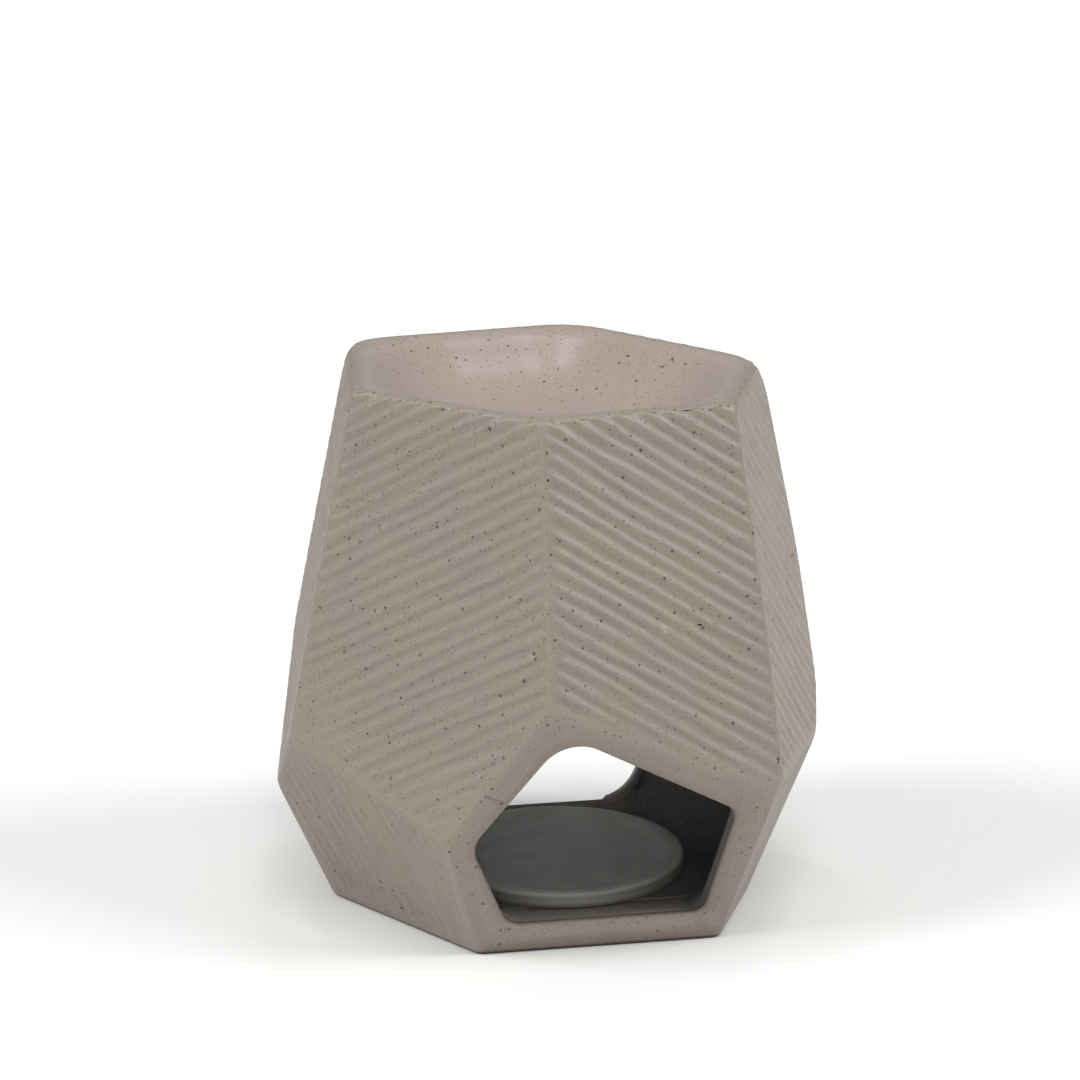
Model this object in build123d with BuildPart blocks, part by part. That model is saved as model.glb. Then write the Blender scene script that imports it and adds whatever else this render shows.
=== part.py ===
from build123d import *
import os
from math import cos, radians, sin, tan
from typing import NamedTuple

# An oil diffuser in stoneware: a faceted wall, a shallow dish let into its top, a floor slab
# and a seat for a tealight. The origin is on the table under the middle of the body, +Z is up
# and the front opening faces -Y. All sizes are in millimetres.

# ---------------------------------------------------------------- driving dimensions

HEIGHT = 100.0  # foot to rim
BEND_HEIGHT = 63.0  # the upper facets turn a little at this height
WALL = 4.5  # thickness of the cast wall
CEILING = 94.0  # top of the chamber, where the wall thickens to carry the dish
BLOCK = 140.0  # side of the block that the facets are cut from

FOOT_RECESS = 1.5  # the floor slab stands this far above the table
FLOOR_TOP = 6.2  # level of the chamber floor, flush with both sills
FOOT_RING = 6.0  # width of the ring of wall that the body stands on
FOOT_CORNER = 4.0  # corner radius of the floor slab

SEAT_RADIUS = 23.5  # pad that the tealight stands on
SEAT_HEIGHT = 2.4  # pad height above the floor
SEAT_CENTRE = (0.8, -0.5)
RECESS_RADIUS = 20.5  # takes a 38 mm tealight cup with room for fingers
RECESS_DEPTH = 0.8
SEAT_EDGE = 0.7  # rounding of the pad's rim

RIM_LAND = 3.5  # flat band between the rim's edge and the dish
DISH_CORNER = 20.0  # corner radius of the dish outline
DISH_LIP = 0.8  # the bowl begins this far inside the dish outline
BOWL_DEPTH = 9.0
BOWL_WALL = 4.0
# Outlines of the bowl from its edge down: share of the reach, share of the depth, corner radius.
BOWL_STEPS = ((0.0, 0.0, 20.0), (0.28, 0.55, 14.0), (0.66, 1.0, 5.0))


class UpperFacet(NamedTuple):
    """A facet between the belly and the rim, which leans in as it rises."""

    azimuth: float  # outward direction in plan, degrees from +X
    reach: float  # distance from the axis at the rim
    rim_lean: float  # degrees from upright above the bend
    belly_lean: float  # degrees from upright below the bend


class LowerFacet(NamedTuple):
    """A facet between the foot and the belly, which leans out as it rises."""

    azimuth: float
    reach: float  # distance from the axis at the foot
    lean: float


UPPER_FACETS = (
    UpperFacet(-74.5, 33.1, 13.5, 10.0),  # front right
    UpperFacet(-22.0, 34.6, 10.6, 8.3),  # right
    UpperFacet(38.0, 31.4, 12.1, 8.6),  # back right
    UpperFacet(98.5, 35.3, 12.0, 9.5),  # back
    UpperFacet(173.0, 36.7, 11.1, 10.7),  # left
    UpperFacet(225.5, 33.2, 10.5, 8.0),  # front left
)

LOWER_FACETS = (
    LowerFacet(-90.0, 27.5, 22.0),  # front, with an opening
    LowerFacet(-26.0, 34.4, 20.5),  # right
    LowerFacet(21.5, 31.3, 26.0),  # back right
    LowerFacet(90.0, 28.5, 22.5),  # back, with an opening
    LowerFacet(159.0, 40.1, 19.5),  # back left
    LowerFacet(213.5, 31.0, 24.5),  # left
)


class OpeningCorner(NamedTuple):
    """A corner of an opening, which is cut along Y."""

    x: float
    z: float
    radius: float


# Both openings run anticlockwise seen from the front.
FRONT_OPENING = (
    OpeningCorner(-14.0, FLOOR_TOP, 4.0),
    OpeningCorner(21.5, FLOOR_TOP, 2.5),
    OpeningCorner(25.2, 28.3, 3.0),
    OpeningCorner(-6.4, 46.5, 6.7),
    OpeningCorner(-21.5, 24.0, 5.5),
)
BACK_OPENING = (
    OpeningCorner(-26.0, FLOOR_TOP, 2.5),
    OpeningCorner(21.0, FLOOR_TOP, 9.0),
    OpeningCorner(25.0, 20.5, 5.5),
    OpeningCorner(12.5, 42.0, 8.0),
    OpeningCorner(-32.0, 30.0, 3.0),
)


# ---------------------------------------------------------------- shared geometry


def facet_plane(azimuth, reach, height, lean):
    """Plane of a facet with its normal outwards. Lean is positive where the facet faces up."""
    turn = radians(azimuth)
    tip = radians(lean)
    normal = (cos(turn) * cos(tip), sin(turn) * cos(tip), sin(tip))
    return Plane(origin=(reach * cos(turn), reach * sin(turn), height), z_dir=normal)


def facet_planes():
    """Every plane that bounds the wall, two for each upper facet and one for each lower one."""
    planes = []
    for facet in UPPER_FACETS:
        bend_reach = facet.reach + (HEIGHT - BEND_HEIGHT) * tan(radians(facet.rim_lean))
        planes.append(facet_plane(facet.azimuth, facet.reach, HEIGHT, facet.rim_lean))
        planes.append(facet_plane(facet.azimuth, bend_reach, BEND_HEIGHT, facet.belly_lean))
    for facet in LOWER_FACETS:
        planes.append(facet_plane(facet.azimuth, facet.reach, 0.0, -facet.lean))
    return planes


def trim_to_facets(inset):
    """Cut the solid in the active builder back to every facet, drawn in by inset."""
    for plane in facet_planes():
        split(bisect_by=plane.offset(-inset), keep=Keep.BOTTOM)


def facet_ring(facets, inset):
    """Corners of the polygon that the facets draw at their own end, drawn in by inset."""
    corners = []
    for facet, following in zip(facets, facets[1:] + facets[:1]):
        first, second = radians(facet.azimuth), radians(following.azimuth)
        reach_one, reach_two = facet.reach - inset, following.reach - inset
        spread = sin(second - first)
        x = (reach_one * sin(second) - reach_two * sin(first)) / spread
        y = (reach_two * cos(first) - reach_one * cos(second)) / spread
        corners.append((x, y))
    return corners


def rounded_ring(facets, inset, radius):
    """Draw a facet ring with rounded corners in the active sketch."""
    Polygon(*facet_ring(facets, inset), align=None)
    fillet(vertices(), radius)


def bowl_ring(inward, radius):
    """Draw one outline of the bowl in the active sketch, moved inwards by a share of the reach."""
    inset = RIM_LAND + DISH_LIP + inward * (UPPER_FACETS[0].reach - RIM_LAND)
    rounded_ring(UPPER_FACETS, inset, radius)


# ---------------------------------------------------------------- body shell

with BuildPart() as chamber:
    with BuildSketch(Plane.XY.offset(FLOOR_TOP)):
        Rectangle(BLOCK, BLOCK)
    extrude(amount=CEILING - FLOOR_TOP)
    trim_to_facets(WALL)

with BuildPart() as body_shell:
    with BuildSketch(Plane.XY):
        Rectangle(BLOCK, BLOCK)
    extrude(amount=HEIGHT)
    trim_to_facets(0.0)
    add(chamber.part, mode=Mode.SUBTRACT)
    with BuildSketch(Plane.XY.offset(CEILING)):
        rounded_ring(UPPER_FACETS, RIM_LAND, DISH_CORNER)
    extrude(amount=HEIGHT - CEILING, mode=Mode.SUBTRACT)
    with BuildSketch(Plane.XY):
        rounded_ring(LOWER_FACETS, FOOT_RING, FOOT_CORNER)
    extrude(amount=FLOOR_TOP, mode=Mode.SUBTRACT)
    for side, corners in ((1, FRONT_OPENING), (-1, BACK_OPENING)):
        with BuildSketch(Plane.XZ):
            Polygon(*((corner.x, corner.z) for corner in corners), align=None)
            for corner in corners:
                fillet(vertices().sort_by_distance((corner.x, corner.z, 0))[0], corner.radius)
        extrude(amount=side * BLOCK / 2, mode=Mode.SUBTRACT)

# ---------------------------------------------------------------- oil dish

with BuildPart() as oil_dish:
    with BuildSketch(Plane.XY.offset(CEILING)):
        rounded_ring(UPPER_FACETS, RIM_LAND, DISH_CORNER)
    extrude(amount=HEIGHT - CEILING)
    for inward, down, radius in BOWL_STEPS:
        with BuildSketch(Plane.XY.offset(HEIGHT - BOWL_WALL - down * BOWL_DEPTH)):
            bowl_ring(inward, radius)
    loft()
    for inward, down, radius in BOWL_STEPS:
        with BuildSketch(Plane.XY.offset(HEIGHT - down * BOWL_DEPTH)):
            bowl_ring(inward, radius)
    loft(mode=Mode.SUBTRACT)

# ---------------------------------------------------------------- chamber floor

with BuildPart() as chamber_floor:
    with BuildSketch(Plane.XY.offset(FOOT_RECESS)):
        rounded_ring(LOWER_FACETS, FOOT_RING, FOOT_CORNER)
    extrude(amount=FLOOR_TOP - FOOT_RECESS)

# ---------------------------------------------------------------- tealight seat

with BuildPart() as tealight_seat:
    with BuildSketch(Plane.XY.offset(FLOOR_TOP)):
        with Locations(SEAT_CENTRE):
            Circle(SEAT_RADIUS)
    extrude(amount=SEAT_HEIGHT)
    with BuildSketch(Plane.XY.offset(FLOOR_TOP + SEAT_HEIGHT)):
        with Locations(SEAT_CENTRE):
            Circle(RECESS_RADIUS)
    extrude(amount=-RECESS_DEPTH, mode=Mode.SUBTRACT)
    fillet(edges().filter_by(GeomType.CIRCLE).group_by(Axis.Z)[-1], SEAT_EDGE)

# ---------------------------------------------------------------- files

os.makedirs("parts", exist_ok=True)
body_shell.part.label = "body_shell"
oil_dish.part.label = "oil_dish"
chamber_floor.part.label = "chamber_floor"
tealight_seat.part.label = "tealight_seat"
for piece in (body_shell.part, oil_dish.part, chamber_floor.part, tealight_seat.part):
    export_step(piece, f"parts/{piece.label}.step")
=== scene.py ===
"""Visible model of a faceted stoneware oil burner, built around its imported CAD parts."""

import logging
import math
from collections import defaultdict
from dataclasses import dataclass, field
from enum import Enum
from typing import Any

import bpy
import numpy as np
from mathutils import Matrix, Vector
from mathutils.geometry import delaunay_2d_cdt

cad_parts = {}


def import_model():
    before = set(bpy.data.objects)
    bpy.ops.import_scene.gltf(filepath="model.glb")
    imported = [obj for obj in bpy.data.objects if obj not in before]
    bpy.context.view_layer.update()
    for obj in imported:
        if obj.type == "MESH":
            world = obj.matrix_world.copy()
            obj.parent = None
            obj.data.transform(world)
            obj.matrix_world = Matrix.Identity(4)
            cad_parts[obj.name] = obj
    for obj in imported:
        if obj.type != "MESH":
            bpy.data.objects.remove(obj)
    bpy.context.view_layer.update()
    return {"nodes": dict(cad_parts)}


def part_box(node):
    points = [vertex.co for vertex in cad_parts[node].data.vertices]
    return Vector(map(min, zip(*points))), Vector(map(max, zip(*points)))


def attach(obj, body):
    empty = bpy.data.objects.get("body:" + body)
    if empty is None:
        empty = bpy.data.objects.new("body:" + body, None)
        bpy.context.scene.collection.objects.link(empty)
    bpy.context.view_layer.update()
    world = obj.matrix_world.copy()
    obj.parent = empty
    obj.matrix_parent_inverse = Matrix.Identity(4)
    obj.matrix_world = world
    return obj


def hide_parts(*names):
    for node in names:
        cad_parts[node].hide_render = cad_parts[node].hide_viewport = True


LOG = logging.getLogger("oil_burner")
MM = 0.001  # metres in a millimetre; the shaping below works in millimetres
ROOT = "root"


# ---------------------------------------------------------------- small helpers


def linear(hex_colour: str) -> tuple[float, float, float, float]:
    """Turn an sRGB hex colour into linear values.

    Args:
        hex_colour: colour such as "#968c82".

    Returns:
        Linear red, green, blue and an alpha of one.
    """
    parts = [int(hex_colour[i : i + 2], 16) / 255 for i in (1, 3, 5)]
    low, knee = 12.92, 0.04045
    rgb = [c / low if c <= knee else ((c + 0.055) / 1.055) ** 2.4 for c in parts]
    return (rgb[0], rgb[1], rgb[2], 1.0)


def add_node(
    tree: bpy.types.NodeTree,
    kind: str,
    inputs: dict[int | str, Any] | None = None,
    **settings: Any,
) -> bpy.types.Node:
    """Add one node with its settings, its socket values and its links.

    Args:
        tree: node tree that receives the node.
        kind: Blender's identifier of the node.
        inputs: value, or socket to link from, for each input by name or index.
        settings: properties of the node.

    Returns:
        The new node.
    """
    node = tree.nodes.new(kind)
    for name, value in settings.items():
        setattr(node, name, value)
    for key, value in (inputs or {}).items():
        if isinstance(value, bpy.types.NodeSocket):
            tree.links.new(value, node.inputs[key])
        else:
            node.inputs[key].default_value = value
    return node


def smooth_max(a: np.ndarray, b: np.ndarray, sharp: np.ndarray | float) -> np.ndarray:
    """Larger of two fields with a rounded changeover.

    Args:
        a: first field.
        b: second field.
        sharp: how quickly one gives way to the other, per millimetre.

    Returns:
        The blended field.
    """
    return np.maximum(a, b) + np.log1p(np.exp(-sharp * np.abs(a - b))) / sharp


def smooth_max_of(fields: np.ndarray, sharp: np.ndarray | float) -> np.ndarray:
    """Largest of several fields, one in each column, with rounded changeovers.

    Args:
        fields: array of points by fields.
        sharp: how quickly one gives way to the other, per millimetre.

    Returns:
        The blended field.
    """
    top = fields.max(axis=1)
    spread = np.exp((fields - top[:, None]) * np.reshape(sharp, (-1, 1)))
    return top + np.log(spread.sum(axis=1)) / sharp


def ease(values: np.ndarray, start: float, end: float) -> np.ndarray:
    """Smooth step from nought at start to one at end."""
    t = np.clip((values - start) / (end - start), 0.0, 1.0)
    return t * t * (3.0 - 2.0 * t)


# ---------------------------------------------------------------- CAD surfaces


@dataclass
class FlatFace:
    """One flat patch of a CAD node: its plane and its border loops."""

    normal: np.ndarray
    offset: float
    loops: list[list[int]]
    area: float
    centre: np.ndarray


class CadSurface:
    """A CAD node's triangles, merged and gathered into flat faces."""

    MERGE = 1e-3  # mm within which corners are one corner
    FLATNESS = 5e-3  # mm that a triangle may leave its face's plane
    AGREE = 0.9995  # least cosine between a face's normal and its triangles'
    CORNER = 6.0  # degrees between faces from which an edge counts as a corner

    def __init__(self, node: bpy.types.Object) -> None:
        """Read the node's mesh and find its flat faces.

        Args:
            node: the CAD node's object, which is only read.
        """
        mesh = node.data
        places = np.array([v.co for v in mesh.vertices]) / MM
        mesh.calc_loop_triangles()
        corners = np.array([t.vertices for t in mesh.loop_triangles])
        keys = np.round(places / self.MERGE).astype(np.int64)
        _, first, renumber = np.unique(keys, axis=0, return_index=True, return_inverse=True)
        self.points = places[first]
        triangles = renumber.reshape(-1)[corners]
        a, b, c = (self.points[triangles[:, i]] for i in range(3))
        cross = np.cross(b - a, c - a)
        size = np.linalg.norm(cross, axis=1)
        keep = size > 1e-9
        self.triangles = triangles[keep]
        self.areas = size[keep] / 2
        self.normals = cross[keep] / size[keep][:, None]
        self.corner_edges: set[frozenset[int]] = set()
        self.faces = self._flat_faces()
        self._find_corners()

    def _find_corners(self) -> None:
        """Note the edges where two flat faces meet at a real angle."""
        normals: dict[frozenset[int], list[np.ndarray]] = defaultdict(list)
        for face in self.faces:
            for loop in face.loops:
                for one, two in zip(loop, loop[1:] + loop[:1]):
                    normals[frozenset((one, two))].append(face.normal)
        least = math.cos(math.radians(self.CORNER))
        for edge, pair in normals.items():
            if len(pair) != 2 or pair[0] @ pair[1] < least:
                self.corner_edges.add(edge)

    def _flat_faces(self) -> list[FlatFace]:
        """Grow flat faces from the largest triangles outwards.

        Returns:
            The faces, the largest seed first.
        """
        beside = defaultdict(list)
        for index, triangle in enumerate(self.triangles):
            for one, two in zip(triangle, np.roll(triangle, -1)):
                beside[frozenset((one, two))].append(index)
        taken = np.full(len(self.triangles), -1)
        faces = []
        for seed in np.argsort(-self.areas):
            if taken[seed] >= 0:
                continue
            normal = self.normals[seed]
            offset = float(self.points[self.triangles[seed][0]] @ normal)
            members, queue = [], [seed]
            taken[seed] = len(faces)
            while queue:
                index = queue.pop()
                members.append(index)
                triangle = self.triangles[index]
                for one, two in zip(triangle, np.roll(triangle, -1)):
                    for other in beside[frozenset((one, two))]:
                        reach = self.points[self.triangles[other]] @ normal - offset
                        flat = np.abs(reach).max() < self.FLATNESS
                        if taken[other] < 0 and flat and self.normals[other] @ normal > self.AGREE:
                            taken[other] = len(faces)
                            queue.append(other)
            faces.append(self._face(members, normal, offset))
        return faces

    def _face(self, members: list[int], normal: np.ndarray, offset: float) -> FlatFace:
        """Chain the border of some triangles into loops.

        Args:
            members: triangle numbers of the face.
            normal: its outward normal.
            offset: distance of its plane from the origin.

        Returns:
            The flat face.
        """
        edges = set()
        for triangle in self.triangles[members]:
            edges.update(zip(triangle.tolist(), np.roll(triangle, -1).tolist()))
        following = defaultdict(list)
        for one, two in edges:
            if (two, one) not in edges:
                following[one].append(two)
        loops = []
        while following:
            start = next(iter(following))
            loop, here = [], start
            while here in following:
                loop.append(here)
                onward = following[here].pop()
                if not following[here]:
                    del following[here]
                here = onward
            loops.append(loop)
        area = float(self.areas[members].sum())
        middles = self.points[self.triangles[members]].mean(axis=1)
        centre = (middles * self.areas[members][:, None]).sum(axis=0) / area
        return FlatFace(normal, offset, loops, area, centre)


class RoundedOutline:
    """A convex outline with a rounding of its own at each corner, as a signed distance."""

    def __init__(self, normals: np.ndarray, offsets: np.ndarray, radii: np.ndarray) -> None:
        """Put the sides in order and find the centre of each corner's rounding.

        Args:
            normals: outward unit normals of the sides, in order of their direction.
            offsets: distance of each side from the origin along its normal.
            radii: rounding between each side and the next.
        """
        self.sides, self.offsets, self.radii = normals, offsets, radii
        onward = np.roll(np.arange(len(normals)), -1)
        self.pairs = [np.array([normals[i], normals[j]]) for i, j in enumerate(onward)]
        self.centres = [
            np.linalg.solve(pair, offsets[[i, j]] - radii[i])
            for i, (j, pair) in enumerate(zip(onward, self.pairs))
        ]

    def distance(self, places: np.ndarray) -> np.ndarray:
        """Signed distance to the outline, negative inside.

        Args:
            places: points in the plane.

        Returns:
            The distance at each point.
        """
        result = (places @ self.sides.T - self.offsets).max(axis=1)
        for pair, centre, radius in zip(self.pairs, self.centres, self.radii):
            gap = places - centre
            shares = gap @ np.linalg.inv(pair)
            rounded = (shares > 0).all(axis=1)
            result[rounded] = np.linalg.norm(gap[rounded], axis=1) - radius
        return result


# ---------------------------------------------------------------- the clay's form


@dataclass(frozen=True)
class Softness:
    """How crisply surfaces meet, per millimetre. Glaze and casting leave no sharp edge."""

    ridge_top: float = 3.4
    ridge_behind: float = 0.38
    behind_fades: tuple[float, float] = (99.5, 90.0)
    behind: tuple[float, float] = (-14.0, 2.0)  # Y over which the rim's corners turn rounder
    ridge_low: float = 2.5
    ridge_fades: tuple[float, float] = (96.0, 70.0)  # heights of crisp and soft ridges
    bend: float = 8.0
    foot: float = 3.4
    rim: float = 1.7
    dish_edge: float = 1.1
    chamber: float = 0.6
    lip: float = 1.6
    inner_lip: float = 1.6


class Doorway(Enum):
    """The two openings of the chamber, by the sign of Y on their side."""

    FRONT = -1
    BACK = 1


@dataclass
class ClayForm:
    """The fired body as one smooth field, negative in the clay and positive in the air."""

    LEAST_WALL = 30.0  # mm2, larger than any strip of a rounding in an opening
    LEAST_FACET = 40.0  # mm2, smaller than any facet or chamber wall
    STEEP = 0.7  # greatest upright share of a facet's normal
    LEVEL = 0.999  # least upright share of a level face's normal
    TOUCH = 0.02  # mm within which a face bounds the whole body
    ON_SURFACE = 0.07  # mm within which a point counts as on the open surface
    BLEND_ROOF = 1.5  # how quickly the bowl's underside meets the ceiling, per millimetre

    shell: CadSurface
    floor_top: float
    rim_land: float = 3.5
    dish_corner: float = 20.0
    bowl_lip: float = 0.8
    bowl_depth: float = 9.0
    bowl_wall: float = 4.0
    bowl_run: float = 19.5  # level distance from the bowl's edge to its flat bottom
    sag: float = 0.9  # dip of the rim over its front right corner
    sag_at: tuple[float, float] = (27.0, -27.0)
    sag_reach: float = 14.0
    sag_height: float = 15.0  # the wall gives over this height below the rim
    soft: Softness = field(default_factory=Softness)

    def __post_init__(self) -> None:
        """Find the facets, the chamber and the openings among the CAD faces."""
        points, faces = self.shell.points, self.shell.faces
        self.height = float(points[:, 2].max())
        bounding = [
            f
            for f in faces
            if f.area > self.LEAST_FACET and (points @ f.normal).max() < f.offset + self.TOUCH
        ]
        sloped = [f for f in bounding if abs(f.normal[2]) < self.STEEP]
        self.normals = np.array([f.normal for f in sloped])
        self.offsets = np.array([f.offset for f in sloped])
        self.azimuths = np.degrees(np.arctan2(self.normals[:, 1], self.normals[:, 0])) % 360
        self.rises = self.normals[:, 2] > 0
        self.wall = self._wall_thickness()
        self.ceiling = max(f.centre[2] for f in faces if f.normal[2] < -self.LEVEL)
        self.doors = {side: self._opening(side) for side in Doorway}
        rims = [(n, d) for n, d, up in zip(self.normals, self.offsets, self.rises) if up]
        rims = [self._at_rim(n, d) for n, d in rims if self._bounds_rim(n, d)]
        level = np.array([n for n, _ in rims])
        reach = np.array([d for _, d in rims]) - self.rim_land - self.bowl_lip
        order = np.argsort(np.arctan2(level[:, 1], level[:, 0]))
        radii = np.full(len(order), self.dish_corner)
        self.bowl = RoundedOutline(level[order], reach[order], radii)

    def _wall_thickness(self) -> float:
        """Usual gap between a facet and the chamber face behind it.

        Returns:
            The gap, in millimetres.
        """
        gaps = []
        for normal, offset in zip(self.normals, self.offsets):
            for face in self.shell.faces:
                if face.area > self.LEAST_FACET and face.normal @ normal < -0.9999:
                    gaps.append(offset + face.offset)
        return float(np.median(gaps))

    def _opening(self, side: Doorway) -> RoundedOutline:
        """Outline of an opening in X and Z, from the walls that its cut left.

        Args:
            side: which opening.

        Returns:
            Its outline, with the sill as one of the sides.
        """
        kept = [
            f
            for f in self.shell.faces
            if abs(f.normal[1]) < 1e-3
            and f.centre[1] * side.value > self.wall
            and f.area > self.LEAST_WALL
            and f.centre[2] < self.ceiling / 2
        ]
        kept += [
            f
            for f in self.shell.faces
            if f.normal[2] > self.LEVEL and abs(f.offset - self.floor_top) < self.TOUCH
        ][:1]
        kept.sort(key=lambda f: math.atan2(-f.normal[2], -f.normal[0]))
        normals = np.array([[-f.normal[0], -f.normal[2]] for f in kept])
        offsets = np.array([-f.offset for f in kept])
        radii = [self._rounding(one, two) for one, two in zip(kept, kept[1:] + kept[:1])]
        LOG.info("%s opening: corner radii %s", side.name.lower(), np.round(radii, 1))
        return RoundedOutline(normals, offsets, np.array(radii))

    def _rounding(self, one: FlatFace, two: FlatFace) -> float:
        """Radius between two walls of an opening, from where the walls stop short of a corner.

        Args:
            one: a wall of the opening.
            two: the next wall round.

        Returns:
            The radius, in millimetres.
        """
        pair = np.array([f.normal[[0, 2]] for f in (one, two)])
        corner = np.linalg.solve(pair, [one.offset, two.offset])
        short = 0.0
        for face in (one, two):
            ends = self.shell.points[[i for loop in face.loops for i in loop]][:, [0, 2]]
            short = max(short, float(np.linalg.norm(ends - corner, axis=1).min()))
        half_turn = math.acos(np.clip(pair[0] @ pair[1], -1.0, 1.0)) / 2
        return short / math.tan(half_turn)

    def _at_rim(self, normal: np.ndarray, offset: float) -> tuple[np.ndarray, float]:
        """Line where a facet's plane meets the level of the rim.

        Args:
            normal: the facet's outward normal.
            offset: distance of its plane from the origin.

        Returns:
            The line's outward normal in plan, and its distance from the axis.
        """
        flat = math.hypot(normal[0], normal[1])
        return normal[:2] / flat, (offset - normal[2] * self.height) / flat

    def _bounds_rim(self, normal: np.ndarray, offset: float) -> bool:
        """Whether a facet's plane, rather than its twin below the bend, bounds the rim.

        Args:
            normal: the facet's outward normal.
            offset: distance of its plane from the origin.

        Returns:
            True where no plane of the same direction is nearer the axis at the rim.
        """
        line, reach = self._at_rim(normal, offset)
        mates = [
            self._at_rim(n, d)[1]
            for n, d, up in zip(self.normals, self.offsets, self.rises)
            if up and self._at_rim(n, d)[0] @ line > 0.9999
        ]
        return reach <= min(mates) + 1e-6

    def facet_fields(self, places: np.ndarray) -> np.ndarray:
        """Distance of points from every facet's plane, positive outside."""
        return places @ self.normals.T - self.offsets

    def outside(self, places: np.ndarray, hard: bool = False) -> np.ndarray:
        """Field of the faceted outer wall, before its ends and its hollows.

        Args:
            places: points, in millimetres.
            hard: whether ridges stay sharp, as in the CAD.

        Returns:
            The field at each point.
        """
        fields = self.facet_fields(places)
        if hard:
            return fields.max(axis=1)
        columns, done = [], set()
        for i, azimuth in enumerate(self.azimuths):
            if i in done:
                continue
            twins = [
                j
                for j, other in enumerate(self.azimuths)
                if abs(other - azimuth) < 0.5 and self.rises[i] == self.rises[j]
            ]
            done.update(twins)
            column = fields[:, twins[0]]
            for j in twins[1:]:
                column = smooth_max(column, fields[:, j], self.soft.bend)
            columns.append(column)
        crisp, loose = self.soft.ridge_fades
        height = ease(places[:, 2], loose, crisp)
        sharp = self.soft.ridge_low + (self.soft.ridge_top - self.soft.ridge_low) * height
        rounded, plain = self.soft.behind_fades
        behind = ease(places[:, 1], *self.soft.behind) * ease(places[:, 2], plain, rounded)
        sharp = sharp + (self.soft.ridge_behind - sharp) * behind
        return smooth_max_of(np.array(columns).T, sharp)

    def chamber(self, places: np.ndarray, hard: bool = False) -> np.ndarray:
        """Field of the candle chamber, negative in its hollow.

        Args:
            places: points, in millimetres.
            hard: whether its corners stay sharp, as in the CAD.

        Returns:
            The field at each point.
        """
        walls = self.facet_fields(places) + self.wall
        belly = self.bowl_level(places) - self.bowl_wall
        roof = -smooth_max(-belly, np.full(len(places), -self.ceiling), self.BLEND_ROOF)
        ends = np.array([places[:, 2] - roof, self.floor_top - places[:, 2]]).T
        fields = np.hstack([walls, ends])
        return fields.max(axis=1) if hard else smooth_max_of(fields, self.soft.chamber)

    def doorway(self, places: np.ndarray) -> np.ndarray:
        """Field of the two openings, negative in their hollow.

        Args:
            places: points, in millimetres.

        Returns:
            The field of the opening on each point's own side.
        """
        flat = places[:, [0, 2]]
        front = self.doors[Doorway.FRONT].distance(flat)
        back = self.doors[Doorway.BACK].distance(flat)
        return np.where(places[:, 1] < 0, front, back)

    def rim_level(self, places: np.ndarray) -> np.ndarray:
        """Height of the rim under or over each point; the clay slumped a little at one corner."""
        apart = ((places[:, :2] - self.sag_at) ** 2).sum(axis=1)
        return self.height - self.sag * np.exp(-apart / (2 * self.sag_reach**2))

    def bowl_level(self, places: np.ndarray) -> np.ndarray:
        """Height of the bowl's surface under or over each point."""
        inward = np.clip(-self.bowl.distance(places[:, :2]) / self.bowl_run, -0.6, 1.0)
        return self.rim_level(places) - self.bowl_depth * (1.0 - (1.0 - inward) ** 2)

    def value(self, places: np.ndarray, hard: bool = False) -> np.ndarray:
        """Field of the whole fired body.

        Args:
            places: points, in millimetres.
            hard: whether every edge stays sharp, as in the CAD.

        Returns:
            The field, in millimetres near the surface.
        """
        z = places[:, 2]
        body = self.outside(places, hard)
        bowl = (z - self.bowl_level(places)) * 0.8
        hollow = -self.chamber(places, hard)
        door = -self.doorway(places)
        if hard:
            return np.max([body, -z, z - self.height, hollow, door], axis=0)
        body = smooth_max(body, -z, self.soft.foot)
        body = smooth_max(body, z - self.rim_level(places), self.soft.rim)
        body = smooth_max(body, bowl, self.soft.dish_edge)
        body = smooth_max(body, hollow, self.soft.inner_lip)
        return smooth_max(body, door, self.soft.lip)

    def slope(self, places: np.ndarray) -> np.ndarray:
        """Gradient of the field, by small steps along each axis.

        Args:
            places: points, in millimetres.

        Returns:
            The gradient at each point.
        """
        step = 0.02
        rows = []
        for axis in range(3):
            shift = np.zeros(3)
            shift[axis] = step
            rows.append((self.value(places + shift) - self.value(places - shift)) / (2 * step))
        return np.array(rows).T

    def slumped(self, places: np.ndarray) -> np.ndarray:
        """Points lowered with the rim, so that none is squeezed at its edge.

        Args:
            places: points, in millimetres.

        Returns:
            The lowered points.
        """
        moved = places.copy()
        share = ease(places[:, 2], self.height - self.sag_height, self.height)
        moved[:, 2] -= (self.height - self.rim_level(places)) * share
        return moved

    def settle(
        self, places: np.ndarray, turns: int = 12, upright: bool = False
    ) -> np.ndarray:
        """Move points onto the smooth surface, each along the field's own slope.

        Args:
            places: points near the surface, in millimetres.
            turns: number of corrections.
            upright: whether points may only rise or sink.

        Returns:
            The moved points.
        """
        least_slope, longest_step = 0.05, 0.6
        moved = places.copy()
        for _ in range(turns):
            slope = self.slope(moved)
            if upright:
                slope[:, :2] = 0.0
            size = np.maximum((slope**2).sum(axis=1), least_slope)
            step = -(self.value(moved) / size)[:, None] * slope
            length = np.linalg.norm(step, axis=1, keepdims=True)
            moved += step * np.minimum(1.0, longest_step / np.maximum(length, 1e-9))
        return moved

    def shows(self, places: np.ndarray) -> np.ndarray:
        """Whether each point of a CAD node lies on the fired body's open surface."""
        return np.abs(self.value(places, hard=True)) < self.ON_SURFACE

    def depth(self, places: np.ndarray) -> np.ndarray:
        """Distance of each point in from the faceted outside."""
        return -self.outside(places, hard=True)

    def satin(self, places: np.ndarray) -> np.ndarray:
        """Share of satin at each point: the bowl, where the glaze lies thicker."""
        level = ease(places[:, 2], self.height - 12.0, self.height - 9.5)
        return level * ease(self.depth(places), 0.6, 3.6)


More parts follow.
